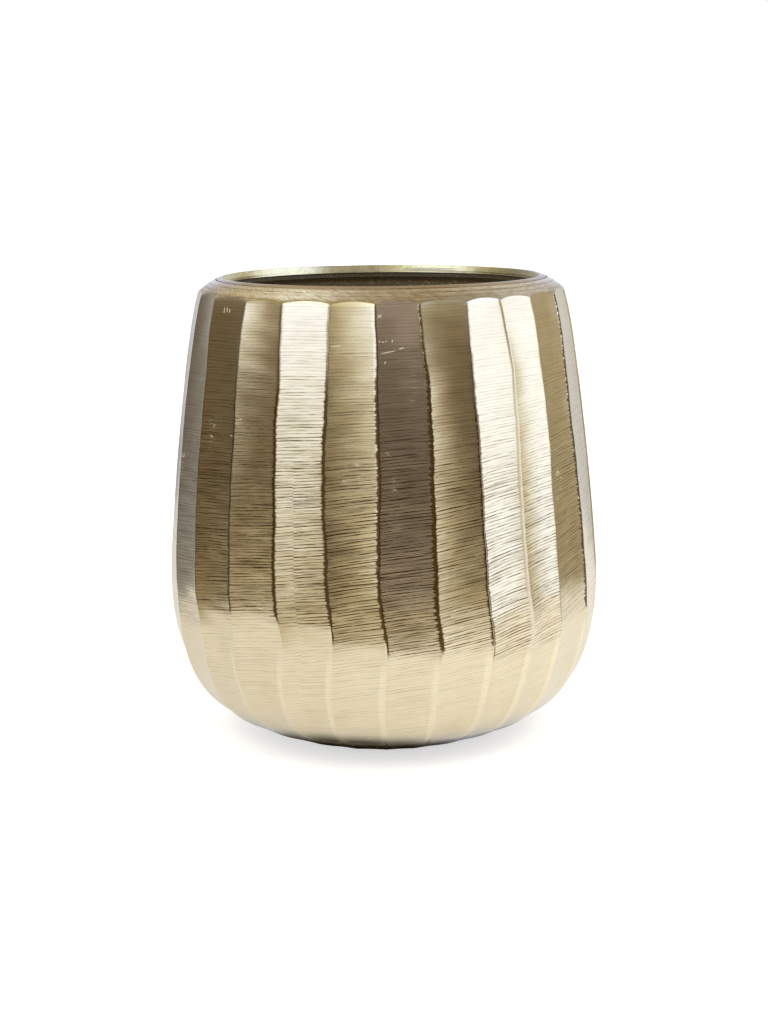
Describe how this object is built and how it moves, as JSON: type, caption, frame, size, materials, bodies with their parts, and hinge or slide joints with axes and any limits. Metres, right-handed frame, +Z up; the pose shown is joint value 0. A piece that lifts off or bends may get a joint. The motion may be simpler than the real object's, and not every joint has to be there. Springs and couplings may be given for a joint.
{
  "type": "vase",
  "caption": "Barrel-shaped cast aluminium vase with hand-cut vertical flutes, a turned chamfer under the wide mouth, a mouth ring, a separate floor plate and felt feet.",
  "frame": {"origin": "centre of the base, on the surface that the felt pads stand on", "axes": "+Z up along the vase's axis; the pictured front faces -Y, and +X is to its right"},
  "size_m": [0.2996, 0.2997, 0.3175],
  "materials": {
    "gold_casting": "satin champagne gold over cast aluminium, with level file marks",
    "turned_rim": "turned on the lathe, satin gold, slightly pitted",
    "inside_metal": "dull cast surface with a thin dark lacquer",
    "sealant": "smooth cured sealant",
    "felt": "pressed wool felt"
  },
  "bodies": {
    "root": {"fluted_wall": "gold_casting", "mouth_ring": "turned_rim", "floor_plate": "inside_metal", "floor_seal": "sealant", "foot_pad_1": "felt", "foot_pad_2": "felt", "foot_pad_3": "felt", "foot_pad_4": "felt"}
  },
  "joints": []
}
